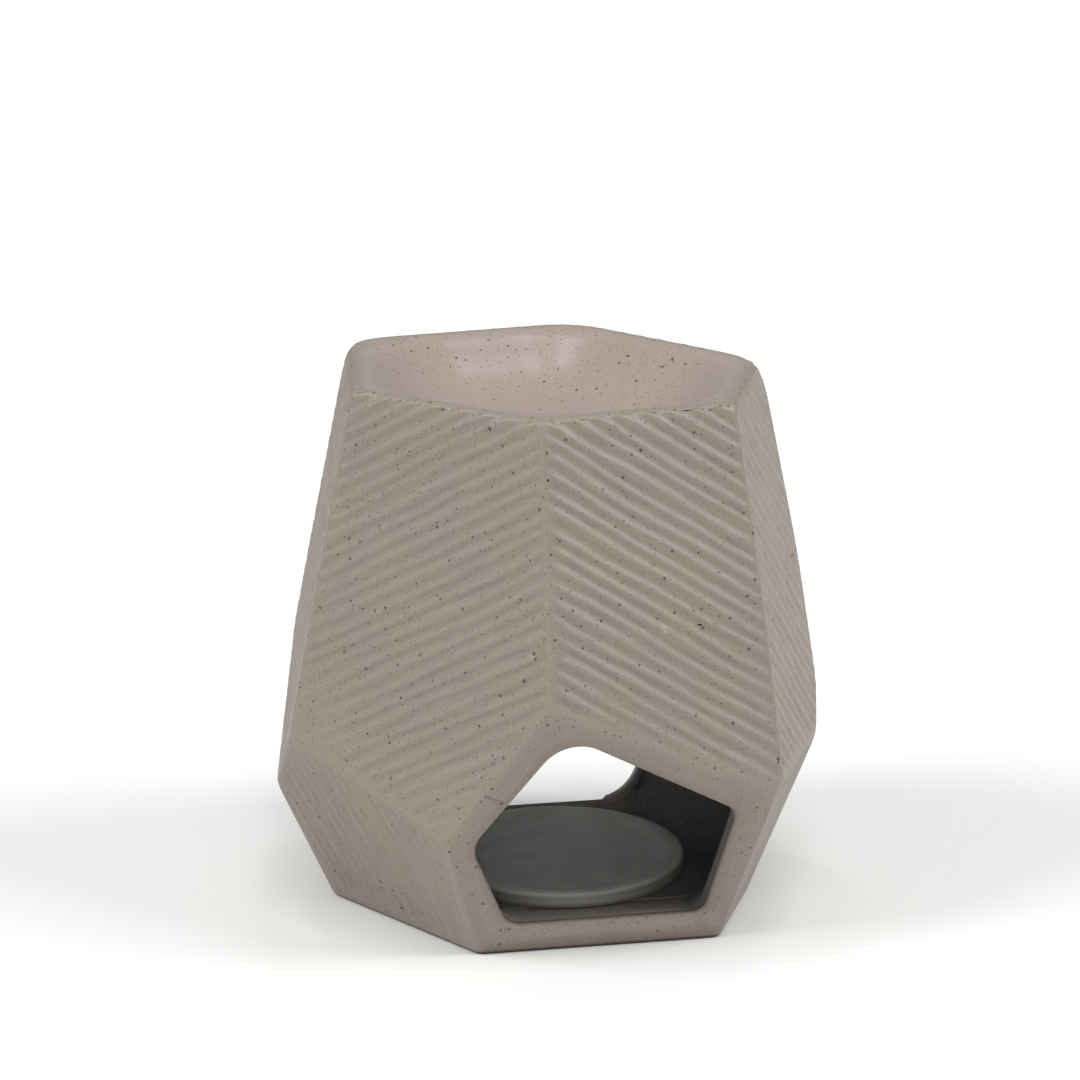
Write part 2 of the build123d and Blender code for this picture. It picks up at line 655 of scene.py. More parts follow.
# ---------------------------------------------------------------- ribs


@dataclass(frozen=True)
class RibbedFacet:
    """How the ribs run on one facet, seen from outside."""

    azimuth: float  # outward direction in plan, degrees
    upper: bool  # above the belly
    rise: float  # degrees that a rib climbs towards the right
    depth: float  # share of the full depth
    fade_left: float = 1.2  # mm from the left edge to the full depth
    fade_right: float = 1.2


RIBBED_FACETS = (
    RibbedFacet(225.5, True, 30.0, 1.0, 1.6, 0.9),
    RibbedFacet(285.5, True, -34.5, 1.0, 2.8, 1.0),
    RibbedFacet(338.0, True, -38.0, 0.9),
    RibbedFacet(38.0, True, 33.0, 1.0),
    RibbedFacet(98.5, True, -34.0, 1.0),
    RibbedFacet(173.0, True, -36.0, 0.9),
    RibbedFacet(213.5, False, -76.0, 0.75, 1.5, 3.0),
    RibbedFacet(159.0, False, 72.0, 0.75),
    RibbedFacet(21.5, False, -76.0, 0.75),
    RibbedFacet(334.0, False, 72.0, 0.25),
)


@dataclass(frozen=True)
class ThumbMark:
    """A place where a thumb has smeared the ribs."""

    place: tuple[float, float, float]  # mm
    reach: float  # mm
    lost: float  # share of the ribs' depth


THUMB_MARKS = (
    ThumbMark((-47.5, -14.5, 41.0), 6.0, 0.8),
    ThumbMark((-28.0, -38.5, 31.0), 5.0, 0.6),
)


@dataclass
class RibCarving:
    """The flutes carved across the facets, cut by a Geometry Nodes tree."""

    START_HEIGHT = 63.0  # mm, where the measure up a facet starts
    USUAL_LEAN = 12.0  # degrees, for turning height into distance up a facet
    BESIDE = 100.0  # degrees in plan past which two facets can't be neighbours
    SAME_WAY = 1.0  # degrees within which two planes belong to one facet
    BELLY_MARGIN = 2.2  # mm over which the ribs fade at the belly
    DOOR_MARGIN = (2.0, 5.2)  # mm from an opening over which they fade in
    FOOT_MARGIN = (1.5, 5.0)  # height over which they fade in, mm
    NEAR_PLANE = (-1.4, -0.35)  # mm behind a facet's plane over which they fade in
    RIM_MARGIN = (-1.0, -0.05)  # mm from the rim's level over which they weaken
    RIM_LOSS = 0.45
    DRIFT_ACROSS = 0.28  # turns of the unevenness in a millimetre across the ribs
    DRIFT_ALONG = 0.045  # and along them
    DRIFT_GAIN = 4.0
    UNEVEN_SCALE = 1.9
    UNEVEN_GAIN = 3.0

    pitch: float = 2.6  # mm from crest to crest
    depth: float = 0.78  # mm
    crest: float = 0.55  # rounding of the crests, as a share of the depth
    wander: float = 0.26  # of a pitch
    unevenness: float = 0.5
    seed: float = 4.0

    def frame(self, facet: RibbedFacet) -> tuple[np.ndarray, np.ndarray]:
        """Directions across and along the ribs of a facet, in level and upright parts.

        Args:
            facet: the facet.

        Returns:
            Direction across and direction along, as (rightwards, upwards) pairs.
        """
        turn = math.radians(facet.rise)
        along = np.array([math.cos(turn), math.sin(turn)])
        return np.array([-along[1], along[0]]), along

    def measure(self, form: ClayForm, places: np.ndarray) -> dict[str, np.ndarray]:
        """Work out where each point lies among the ribs of its facet.

        Args:
            form: the fired body.
            places: points on its surface, in millimetres.

        Returns:
            Distance across and along the ribs, and the ribs' weight, at each point.
        """
        fields = form.facet_fields(places)
        across = np.zeros(len(places))
        along = np.zeros(len(places))
        weight = np.zeros(len(places))
        for facet in RIBBED_FACETS:
            mine = self._planes_of(form, facet)
            others = [i for i in range(len(form.azimuths)) if i not in mine]
            own = fields[:, mine].max(axis=1)
            turn = math.radians(facet.azimuth)
            right = np.array([-math.sin(turn), math.cos(turn)])
            level = places[:, :2] @ right
            lean = math.cos(math.radians(self.USUAL_LEAN))
            upright = (places[:, 2] - self.START_HEIGHT) / lean
            over, onward = self.frame(facet)
            # Distance from each neighbour's plane tells how near the edge is.
            clear = np.full(len(places), 1.0)
            for i in others:
                turn_to = (form.azimuths[i] - facet.azimuth + 180) % 360 - 180
                if abs(turn_to) > self.BESIDE:
                    continue
                cosine = np.clip(form.normals[i] @ form.normals[mine[0]], -1, 1)
                gap = (own - fields[:, i]) / math.sin(max(math.acos(cosine), 0.2))
                if form.rises[i] != facet.upper:
                    width = self.BELLY_MARGIN
                else:
                    width = facet.fade_right if turn_to > 0 else facet.fade_left
                clear = np.minimum(clear, ease(gap, 0.1, width))
            near = ease(own, *self.NEAR_PLANE)
            share = facet.depth * clear * near * ease(form.doorway(places), *self.DOOR_MARGIN)
            rising = own >= fields.max(axis=1) - 1e-9
            use = rising & (share > 0)
            across[use] = (level * over[0] + upright * over[1])[use]
            along[use] = (level * onward[0] + upright * onward[1])[use]
            weight[use] = share[use]
        below_rim = places[:, 2] - form.rim_level(places)
        weight *= 1.0 - self.RIM_LOSS * ease(below_rim, *self.RIM_MARGIN)
        weight *= ease(places[:, 2], *self.FOOT_MARGIN)
        for mark in THUMB_MARKS:
            apart = ((places - mark.place) ** 2).sum(axis=1)
            weight *= 1.0 - mark.lost * np.exp(-apart / (2 * mark.reach**2))
        return {"rib_across": across, "rib_along": along, "rib_weight": weight}

    def _planes_of(self, form: ClayForm, facet: RibbedFacet) -> list[int]:
        """Numbers of the form's planes that make up a facet.

        Args:
            form: the fired body.
            facet: the facet.

        Returns:
            Their numbers, two above the belly and one below it.
        """
        return [
            i
            for i, azimuth in enumerate(form.azimuths)
            if abs((azimuth - facet.azimuth + 180) % 360 - 180) < self.SAME_WAY
            and form.rises[i] == facet.upper
        ]

    def tree(self) -> bpy.types.NodeTree:
        """Build the tree that sinks the flutes into the wall along its normals.

        Returns:
            The Geometry Nodes tree, with its sizes as named inputs.
        """
        tree = bpy.data.node_groups.new("carved_flutes", "GeometryNodeTree")
        face = tree.interface
        face.new_socket("Geometry", in_out="INPUT", socket_type="NodeSocketGeometry")
        for name in ("Rib Pitch", "Rib Depth", "Crest Rounding", "Wander", "Unevenness", "Seed"):
            face.new_socket(name, in_out="INPUT", socket_type="NodeSocketFloat")
        face.new_socket("Glaze", in_out="INPUT", socket_type="NodeSocketMaterial")
        face.new_socket("Geometry", in_out="OUTPUT", socket_type="NodeSocketGeometry")
        given = add_node(tree, "NodeGroupInput").outputs
        named = {
            key: add_node(
                tree, "GeometryNodeInputNamedAttribute", {"Name": key}, data_type="FLOAT"
            ).outputs["Attribute"]
            for key in ("rib_across", "rib_along", "rib_weight")
        }
        slow = add_node(
            tree,
            "ShaderNodeCombineXYZ",
            {
                socket: add_node(
                    tree, "ShaderNodeMath", {0: named[key], 1: scale}, operation="MULTIPLY"
                ).outputs[0]
                for socket, key, scale in (
                    ("X", "rib_across", self.DRIFT_ACROSS),
                    ("Y", "rib_along", self.DRIFT_ALONG),
                )
            },
        ).outputs[0]
        drift = add_node(
            tree,
            "ShaderNodeTexNoise",
            {"Vector": slow, "W": given["Seed"], "Scale": 1.0, "Detail": 2.0},
            noise_dimensions="4D",
        ).outputs[0]
        drift = add_node(tree, "ShaderNodeMath", {0: drift, 1: 0.5}, operation="SUBTRACT").outputs[0]
        drift = add_node(
            tree, "ShaderNodeMath", {0: drift, 1: given["Wander"]}, operation="MULTIPLY"
        ).outputs[0]
        phase = add_node(
            tree,
            "ShaderNodeMath",
            {0: named["rib_across"], 1: given["Rib Pitch"]},
            operation="DIVIDE",
        ).outputs[0]
        phase = add_node(
            tree,
            "ShaderNodeMath",
            {0: drift, 1: self.DRIFT_GAIN, 2: phase},
            operation="MULTIPLY_ADD",
        ).outputs[0]
        wave = add_node(
            tree, "ShaderNodeMath", {0: phase, 1: math.pi}, operation="MULTIPLY"
        ).outputs[0]
        wave = add_node(tree, "ShaderNodeMath", {0: wave}, operation="SINE").outputs[0]
        wave = add_node(tree, "ShaderNodeMath", {0: wave, 1: wave}, operation="MULTIPLY").outputs[0]
        round_off = add_node(
            tree,
            "ShaderNodeMath",
            {0: given["Crest Rounding"], 1: given["Crest Rounding"]},
            operation="MULTIPLY",
        ).outputs[0]
        wave = add_node(
            tree, "ShaderNodeMath", {0: wave, 1: round_off}, operation="ADD"
        ).outputs[0]
        wave = add_node(tree, "ShaderNodeMath", {0: wave}, operation="SQRT").outputs[0]
        flute = add_node(
            tree, "ShaderNodeMath", {0: wave, 1: given["Crest Rounding"]}, operation="SUBTRACT"
        ).outputs[0]
        uneven = add_node(
            tree,
            "ShaderNodeTexNoise",
            {"Vector": slow, "W": given["Seed"], "Scale": self.UNEVEN_SCALE, "Detail": 1.0},
            noise_dimensions="4D",
        ).outputs[0]
        uneven = add_node(
            tree, "ShaderNodeMath", {0: uneven, 1: 0.5}, operation="SUBTRACT"
        ).outputs[0]
        uneven = add_node(
            tree,
            "ShaderNodeMath",
            {0: uneven, 1: given["Unevenness"]},
            operation="MULTIPLY",
        ).outputs[0]
        uneven = add_node(
            tree,
            "ShaderNodeMath",
            {0: uneven, 1: self.UNEVEN_GAIN, 2: 1.0},
            operation="MULTIPLY_ADD",
        ).outputs[0]
        flute = add_node(
            tree, "ShaderNodeMath", {0: flute, 1: uneven}, operation="MULTIPLY"
        ).outputs[0]
        flute = add_node(
            tree, "ShaderNodeMath", {0: flute, 1: named["rib_weight"]}, operation="MULTIPLY"
        ).outputs[0]
        sink = add_node(
            tree, "ShaderNodeMath", {0: flute, 1: given["Rib Depth"]}, operation="MULTIPLY"
        ).outputs[0]
        sink = add_node(tree, "ShaderNodeMath", {0: sink, 1: -1.0}, operation="MULTIPLY").outputs[0]
        normal = add_node(tree, "GeometryNodeInputNormal").outputs[0]
        offset = add_node(
            tree, "ShaderNodeVectorMath", {0: normal, "Scale": sink}, operation="SCALE"
        ).outputs[0]
        hollow = add_node(
            tree,
            "GeometryNodeStoreNamedAttribute",
            {"Geometry": given["Geometry"], "Name": "flute", "Value": flute},
            data_type="FLOAT",
            domain="POINT",
        )
        carved = add_node(
            tree,
            "GeometryNodeSetPosition",
            {"Geometry": hollow.outputs["Geometry"], "Offset": offset},
        )
        real = add_node(tree, "GeometryNodeRealizeInstances", {0: carved.outputs["Geometry"]})
        dressed = add_node(
            tree, "GeometryNodeSetMaterial", {0: real.outputs[0], "Material": given["Glaze"]}
        )
        add_node(tree, "NodeGroupOutput", {0: dressed.outputs[0]})
        return tree

    def carve(self, piece: bpy.types.Object, glaze: bpy.types.Material) -> None:
        """Run the tree on a piece and keep the result as its plain mesh.

        Args:
            piece: mesh with the ribs' attributes.
            glaze: material that the tree sets.
        """
        tree = self.tree()
        modifier = piece.modifiers.new("carving", "NODES")
        modifier.node_group = tree
        values = {
            "Rib Pitch": self.pitch,
            "Rib Depth": self.depth * MM,
            "Crest Rounding": self.crest,
            "Wander": self.wander,
            "Unevenness": self.unevenness,
            "Seed": self.seed,
            "Glaze": glaze,
        }
        for item in tree.interface.items_tree:
            if item.in_out == "INPUT" and item.name in values:
                modifier[item.identifier] = values[item.name]
        apply_modifiers(piece)


def apply_modifiers(piece: bpy.types.Object) -> None:
    """Turn a piece's modifiers into its plain mesh.

    Args:
        piece: object whose modifiers are worked out and removed.
    """
    bpy.context.view_layer.update()
    graph = bpy.context.evaluated_depsgraph_get()
    made = bpy.data.meshes.new_from_object(piece.evaluated_get(graph), depsgraph=graph)
    old = piece.data
    piece.modifiers.clear()
    piece.data = made
    bpy.data.meshes.remove(old)
    made.name = piece.name


# ---------------------------------------------------------------- meshing


@dataclass(frozen=True)
class Fineness:
    """Spacing of mesh points, in millimetres."""

    edge: float = 0.5  # along edges that show outside
    inner_edge: float = 1.2  # along edges inside the chamber
    hidden_edge: float = 4.0
    rows: tuple[float, ...] = (0.32, 0.75, 1.3, 2.0)  # lines beside an edge
    across: float = 0.37  # across the ribs
    along: float = 1.7
    plain: float = 2.2
    hidden: float = 6.0  # on faces that nobody sees
    inner_depth: float = 6.5  # edges further in than this count as inside the chamber


class PatchMesher:
    """Fills the flat faces of a CAD node with fine triangles that share their borders."""

    SMALL_FACE = 400.0  # mm2, below which a face's corners tell whether it shows
    ROW_CLEAR = 0.93  # share of a row's distance that its points keep from every edge
    ROW_THIN = 0.55  # share of the edge spacing that points of a row keep from each other
    GRID_CLEAR = 0.6  # share of the grid's spacing that its points keep from edges and rows
    GRID_START = (0.37, 0.41)  # share of a spacing by which the grid starts off the corner

    def __init__(
        self, surface: CadSurface, form: ClayForm, fine: Fineness, carving: RibCarving
    ) -> None:
        """Split every border edge once, so that neighbours meet point to point.

        Args:
            surface: the CAD node's flat faces.
            form: the fired body.
            fine: spacing of the points.
            carving: the ribs' carving, not used.
        """
        self.surface, self.form, self.fine, self.carving = surface, form, fine, carving
        self.points = [p for p in surface.points]
        self.split: dict[tuple[int, int], list[int]] = {}
        self.triangles: list[tuple[int, int, int]] = []

    def _spacing(self, middle: np.ndarray) -> float:
        """Spacing of points on an edge.

        Args:
            middle: the edge's middle.

        Returns:
            The spacing, in millimetres.
        """
        spot = middle[None, :]
        if not self.form.shows(spot)[0]:
            return self.fine.hidden_edge
        if -self.form.outside(spot, hard=True)[0] > self.fine.inner_depth:
            return self.fine.inner_edge
        return self.fine.edge

    def _divided(self, one: int, two: int) -> list[int]:
        """Point numbers from one corner up to, but without, the next.

        Args:
            one: number of the first corner.
            two: number of the next corner.

        Returns:
            The numbers, the same ones for the face on the other side of the edge.
        """
        key = (min(one, two), max(one, two))
        if key not in self.split:
            start, end = self.points[key[0]], self.points[key[1]]
            spacing = self._spacing((start + end) / 2)
            count = max(1, math.ceil(np.linalg.norm(end - start) / spacing))
            ids = [key[0]]
            for step in range(1, count):
                ids.append(len(self.points))
                self.points.append(start + (end - start) * step / count)
            self.split[key] = ids + [key[1]]
        chain = self.split[key]
        return chain[:-1] if key[0] == one else chain[:0:-1]

    def border(self, loop: list[int]) -> tuple[list[int], list[bool]]:
        """A loop's divided edges.

        Args:
            loop: corners of a face.

        Returns:
            Point numbers round the loop, and whether a real corner follows each of them.
        """
        ids: list[int] = []
        corners: list[bool] = []
        for one, two in zip(loop, loop[1:] + loop[:1]):
            chain = self._divided(one, two)
            ids += chain
            corners += [frozenset((one, two)) in self.surface.corner_edges] * len(chain)
        return ids, corners

    def fill(self, face: FlatFace) -> None:
        """Cover one flat face with triangles.

        Args:
            face: the face to cover.
        """
        facet = self._ribs_on(face)
        first, second = self._axes(face, facet)
        borders, corner = [], []
        for loop in face.loops:
            border, flags = self.border(loop)
            borders.append(border)
            corner += flags
        ids = [i for border in borders for i in border]
        rim = np.array([self.points[i] for i in ids])
        flat = np.array([rim @ first, rim @ second]).T
        edges, base = [], 0
        for border in borders:
            edges += [(base + k, base + (k + 1) % len(border)) for k in range(len(border))]
            base += len(border)
        starts, ends = flat[[e[0] for e in edges]], flat[[e[1] for e in edges]]
        inner = self._inner_points(face, facet, starts, ends, np.array(corner))
        spots = [Vector(p) for p in np.vstack([flat, inner])] if len(inner) else [
            Vector(p) for p in flat
        ]
        made, _, corners, source, _, _ = delaunay_2d_cdt(spots, edges, [], 0, 1e-7, True)
        known = ids + list(range(len(self.points), len(self.points) + len(inner)))
        for place in inner:
            self.points.append(first * place[0] + second * place[1] + face.normal * face.offset)
        middles = np.array(made)[np.array(corners)].mean(axis=1)
        keep = inside_loops(middles, starts, ends)
        for corner, wanted in zip(corners, keep):
            if wanted:
                self.triangles.append(tuple(known[source[c][0]] for c in corner))

    def _ribs_on(self, face: FlatFace) -> RibbedFacet | None:
        """The ribs of the facet that this face is part of.

        Args:
            face: the face.

        Returns:
            How its ribs run, or None where it has none.
        """
        rising = face.normal[2] > 0
        azimuth = math.degrees(math.atan2(face.normal[1], face.normal[0])) % 360
        outer = np.isclose(self.form.normals @ face.normal, 1.0, atol=1e-5) & np.isclose(
            self.form.offsets, face.offset, atol=0.01
        )
        if not outer.any():
            return None
        for facet in RIBBED_FACETS:
            turned = abs((facet.azimuth - azimuth + 180) % 360 - 180)
            if turned < 1.0 and facet.upper == rising:
                return facet
        return None

    def _axes(
        self, face: FlatFace, facet: RibbedFacet | None
    ) -> tuple[np.ndarray, np.ndarray]:
        """Two directions in a face that make a right-handed set with its normal.

        Args:
            face: the face.
            facet: its ribs, if it has any.

        Returns:
            The directions, the first along the ribs where there are ribs.
        """
        normal = face.normal
        if abs(normal[2]) > 0.95:
            right = np.array([1.0, 0.0, 0.0])
        else:
            right = np.array([-normal[1], normal[0], 0.0])
            right /= np.linalg.norm(right)
        right -= normal * (right @ normal)
        right /= np.linalg.norm(right)
        up = np.cross(normal, right)
        if facet is None:
            return right, up
        turn = math.radians(facet.rise)
        along = right * math.cos(turn) + up * math.sin(turn)
        return along, np.cross(normal, along)

    def _inner_points(
        self,
        face: FlatFace,
        facet: RibbedFacet | None,
        starts: np.ndarray,
        ends: np.ndarray,
        corner: np.ndarray,
    ) -> np.ndarray:
        """Points inside a face: rows beside its edges, then a grid in its middle.

        Args:
            face: the face.
            facet: its ribs, if it has any.
            starts: first ends of its border segments, in its own plane.
            ends: second ends of its border segments.
            corner: whether each segment lies on a real corner.

        Returns:
            The points, in the face's own plane.
        """
        fine = self.fine
        low, high = np.minimum(starts, ends).min(axis=0), np.maximum(starts, ends).max(axis=0)
        on_view = self.form.shows(face.centre[None, :])[0] or facet is not None
        if not on_view and face.area < self.SMALL_FACE:
            on_view = self.form.shows(self.surface.points[face.loops[0]]).all()
        run = ends - starts
        length = np.linalg.norm(run, axis=1)
        kept = np.zeros((0, 2))
        rows = fine.rows if on_view else ()
        short = (length < fine.inner_edge * 1.01) & corner
        for number, distance in enumerate(rows):
            inward = np.array([-run[:, 1], run[:, 0]]).T / length[:, None]
            share = 0.5 if number % 2 == 0 else 0.0
            line = (starts + run * share + inward * distance)[short]
            gap = border_gap(line, starts, ends)
            line = line[(gap > distance * self.ROW_CLEAR) & inside_loops(line, starts, ends)]
            kept = np.vstack([kept, thinned(line, fine.edge * self.ROW_THIN)])
        step = (fine.along, fine.across) if facet is not None else (fine.plain, fine.plain)
        if not on_view:
            step = (fine.hidden, fine.hidden)
        grid = np.array(
            np.meshgrid(
                np.arange(low[0] + step[0] * self.GRID_START[0], high[0], step[0]),
                np.arange(low[1] + step[1] * self.GRID_START[1], high[1], step[1]),
            )
        ).reshape(2, -1).T
        if len(grid):
            grid = grid[inside_loops(grid, starts, ends)]
        if len(grid):
            grid = grid[border_gap(grid, starts, ends) > min(step) * self.GRID_CLEAR]
            if short.any() and rows:
                margin = rows[-1] + min(step) * self.GRID_CLEAR
                grid = grid[border_gap(grid, starts[short], ends[short]) > margin]
            kept = np.vstack([kept, grid])
        return kept


def thinned(places: np.ndarray, spacing: float) -> np.ndarray:
    """Drop points that share a small square with an earlier one.

    Args:
        places: points in a plane.
        spacing: side of the squares.

    Returns:
        The points that are kept, in their old order.
    """
    if not len(places):
        return places
    cells = np.floor(places / spacing).astype(np.int64)
    _, first = np.unique(cells, axis=0, return_index=True)
    return places[np.sort(first)]


def border_gap(places: np.ndarray, starts: np.ndarray, ends: np.ndarray) -> np.ndarray:
    """Distance of points from the nearest of some segments, all in one plane.

    Args:
        places: the points.
        starts: first ends of the segments.
        ends: second ends of the segments.

    Returns:
        The distance at each point.
    """
    nearest = np.full(len(places), np.inf)
    for one, two in zip(starts, ends):
        run = two - one
        share = np.clip((places - one) @ run / max(run @ run, 1e-12), 0.0, 1.0)
        gap = places - one - share[:, None] * run
        nearest = np.minimum(nearest, (gap**2).sum(axis=1))
    return np.sqrt(nearest)


def inside_loops(places: np.ndarray, starts: np.ndarray, ends: np.ndarray) -> np.ndarray:
    """Whether points lie inside loops made of segments, holes left out.

    Args:
        places: points in a plane.
        starts: first ends of the segments.
        ends: second ends of the segments.

    Returns:
        True for each point inside.
    """
    crossings = np.zeros(len(places), dtype=np.int64)
    for (ax, ay), (bx, by) in zip(starts, ends):
        if ay == by:
            continue
        spans = (places[:, 1] > ay) != (places[:, 1] > by)
        reach = ax + (places[:, 1] - ay) * (bx - ax) / (by - ay)
        crossings += spans & (places[:, 0] < reach)
    return crossings % 2 == 1


def new_piece(
    name: str,
    places: np.ndarray,
    triangles: list[tuple[int, ...]],
    attributes: dict[str, np.ndarray] | None = None,
) -> bpy.types.Object:
    """Make a smooth-shaded mesh object at the origin.

    Args:
        name: name of the piece.
        places: its points, in millimetres.
        triangles: its faces.
        attributes: values for each point, by name.

    Returns:
        The object.
    """
    used = np.unique(np.array([i for t in triangles for i in t]))
    renumber = np.full(len(places), -1)
    renumber[used] = np.arange(len(used))
    mesh = bpy.data.meshes.new(name)
    faces = [tuple(int(renumber[i]) for i in t) for t in triangles]
    mesh.from_pydata((places[used] * MM).tolist(), [], faces)
    mesh.polygons.foreach_set("use_smooth", [True] * len(mesh.polygons))
    for key, values in (attributes or {}).items():
        layer = mesh.attributes.new(key, "FLOAT", "POINT")
        layer.data.foreach_set("value", values[used].astype(np.float32))
    mesh.update()
    piece = bpy.data.objects.new(name, mesh)
    bpy.context.scene.collection.objects.link(piece)
    return piece


# ---------------------------------------------------------------- finishes


@dataclass(frozen=True)
class SpeckleLayer:
    """One size of iron speck in the glaze."""

    cell: float  # mm between specks, in depth as well as across
    smallest: float  # radius, mm
    largest: float
    strength: float


@dataclass(frozen=True)
class Mottle:
    """A soft cloudy pattern and the values between which it is stretched."""

    scale: float  # clouds in a millimetre
    low: float
    high: float


@dataclass(frozen=True)
class StonewareGlaze:
    """Matt reactive glaze, sprayed over iron-bearing stoneware and fired once.

    It gives a warm grey-brown ground with soft clouding, dark iron specks of several
    sizes, thin lighter crests, and a satin pool in the bowl. It stops on a brown iron
    line at the lips, past which only a thin mist of it lies on bare clay.
    """

    name: str = "matt_speckled_glaze_sprayed"
    ground: str = "#82786f"
    warm: str = "#85796d"
    cool: str = "#80776e"
    crest: str = "#968b81"
    bowl: str = "#948880"
    speck: str = "#34251e"
    pale_speck: str = "#5a473b"
    burnt: str = "#3f2a22"  # iron drawn out where the glaze ends
    mist: str = "#837a71"  # thin glaze blown in over the sills
    clay: str = "#716e6a"  # lighter than the fired clay, to read right in the unlit chamber
    clay_dark: str = "#5b5855"
    matt: float = 0.46
    satin: float = 0.29
    bare: float = 0.85
    lip: tuple[float, float] = (1.25, 1.6)  # mm in from the outside where the glaze stops
    reach: tuple[float, float] = (5.8, 8.0)  # mm in from the outside where the mist thins out
    foot: tuple[float, float] = (0.45, 0.85)  # height of the wiped foot line, mm
    burnt_line: tuple[float, float] = (0.1, 0.4)  # half width of the iron line and its fringe, mm
    burnt_strength: float = 0.7
    thin_flute: float = 0.45  # the glaze is thin on the ribs down to this share of a flute
    thin_share: float = 0.12
    speck_edge: float = 0.06  # softness of a speck's outline, mm
    skin_scale: float = 2.6  # ripples of the glaze's skin in a millimetre
    skin_height: float = 0.05  # mm
    skin_strength: float = 0.35
    grain: Mottle = Mottle(1.7, 0.3, 0.7)
    clouding: Mottle = Mottle(0.07, 0.35, 0.65)
    mist_height: tuple[float, float] = (7.6, 9.4)  # level where the mist ends, mm
    mist_right: tuple[float, float] = (17.5, 20.0)  # X where the mist ends, mm
    layers: tuple[SpeckleLayer, ...] = (
        SpeckleLayer(1.7, 0.05, 0.34, 0.9),
        SpeckleLayer(0.8, 0.03, 0.19, 0.75),
        SpeckleLayer(0.45, 0.02, 0.12, 0.6),
    )

    def material(self) -> bpy.types.Material:
        """Build the glaze's material.

        Returns:
            The material, which reads the piece's own depth, satin and flute values.
        """
        made = bpy.data.materials.new(self.name)
        made.use_nodes = True
        tree = made.node_tree
        tree.nodes.clear()
        place = add_node(tree, "ShaderNodeTexCoord").outputs["Object"]
        scaled = add_node(
            tree, "ShaderNodeVectorMath", {0: place, "Scale": 1 / MM}, operation="SCALE"
        ).outputs[0]
        share = {
            key: add_node(tree, "ShaderNodeAttribute", attribute_name=key).outputs["Fac"]
            for key in ("depth", "satin", "flute")
        }
        grain, clouds = (
            add_node(
                tree,
                "ShaderNodeMapRange",
                {
                    0: add_node(
                        tree,
                        "ShaderNodeTexNoise",
                        {"Vector": scaled, "Scale": pattern.scale, "Detail": 3.0},
                    ).outputs[0],
                    1: pattern.low,
                    2: pattern.high,
                },
            ).outputs[0]
            for pattern in (self.grain, self.clouding)
        )
        thin = add_node(
            tree,
            "ShaderNodeMapRange",
            {0: share["flute"], 1: 0.0, 2: self.thin_flute, 3: self.thin_share, 4: 0.0},
        ).outputs[0]
        height = add_node(tree, "ShaderNodeSeparateXYZ", {0: scaled}).outputs
        near_lip, blown_in, low_down, left_of, bare_foot = (
            add_node(
                tree, "ShaderNodeMapRange", {0: value, 1: ends[0], 2: ends[1], 3: 1.0, 4: 0.0}
            ).outputs[0]
            for value, ends in (
                (share["depth"], self.lip),
                (share["depth"], self.reach),
                (height["Z"], self.mist_height),
                (height["X"], self.mist_right),
                (height["Z"], self.foot),
            )
        )
        misted = blown_in
        for limit in (low_down, left_of):
            misted = add_node(
                tree, "ShaderNodeMath", {0: misted, 1: limit}, operation="MULTIPLY"
            ).outputs[0]
        rough: Any = self.satin
        for factor, first in ((share["satin"], self.matt), (near_lip, self.bare)):
            rough = add_node(
                tree,
                "ShaderNodeMix",
                {"Factor": factor, 2: first, 3: rough},
                data_type="FLOAT",
            ).outputs[0]
        specked = add_node(
            tree, "ShaderNodeMath", {0: near_lip, 1: misted}, operation="MAXIMUM"
        ).outputs[0]
        inside: Any = linear(self.clay)
        for factor, second in ((grain, self.clay_dark), (misted, self.mist)):
            inside = add_node(
                tree,
                "ShaderNodeMix",
                {"Factor": factor, 6: inside, 7: linear(second)},
                data_type="RGBA",
            ).outputs[2]
        colour: Any = linear(self.warm)
        for factor, second in (
            (clouds, self.cool),
            (grain, self.ground),
            (thin, self.crest),
            (share["satin"], self.bowl),
        ):
            colour = add_node(
                tree,
                "ShaderNodeMix",
                {"Factor": factor, 6: colour, 7: linear(second)},
                data_type="RGBA",
            ).outputs[2]
        colour = add_node(
            tree,
            "ShaderNodeMix",
            {"Factor": near_lip, 6: inside, 7: colour},
            data_type="RGBA",
        ).outputs[2]
        for layer in self.layers:
            colour = self._speckle(tree, scaled, specked, layer, colour)
        away = add_node(
            tree,
            "ShaderNodeMath",
            {0: share["depth"], 1: sum(self.lip) / 2},
            operation="SUBTRACT",
        ).outputs[0]
        away = add_node(tree, "ShaderNodeMath", {0: away}, operation="ABSOLUTE").outputs[0]
        core, fringe = self.burnt_line
        line = add_node(
            tree,
            "ShaderNodeMapRange",
            {0: away, 1: core, 2: fringe, 3: self.burnt_strength, 4: 0.0},
        ).outputs[0]
        burnt = add_node(
            tree, "ShaderNodeMath", {0: bare_foot, 1: line}, operation="MAXIMUM"
        ).outputs[0]
        colour = add_node(
            tree,
            "ShaderNodeMix",
            {"Factor": burnt, 6: colour, 7: linear(self.burnt)},
            data_type="RGBA",
        ).outputs[2]
        fine = add_node(
            tree,
            "ShaderNodeTexNoise",
            {"Vector": scaled, "Scale": self.skin_scale, "Detail": 3.0},
        ).outputs[0]
        bump = add_node(
            tree,
            "ShaderNodeBump",
            {"Height": fine, "Strength": self.skin_strength, "Distance": self.skin_height * MM},
        ).outputs[0]
        shader = add_node(
            tree,
            "ShaderNodeBsdfPrincipled",
            {"Base Color": colour, "Roughness": rough, "Normal": bump, "IOR": 1.5},
        )
        add_node(tree, "ShaderNodeOutputMaterial", {0: shader.outputs[0]})
        return made

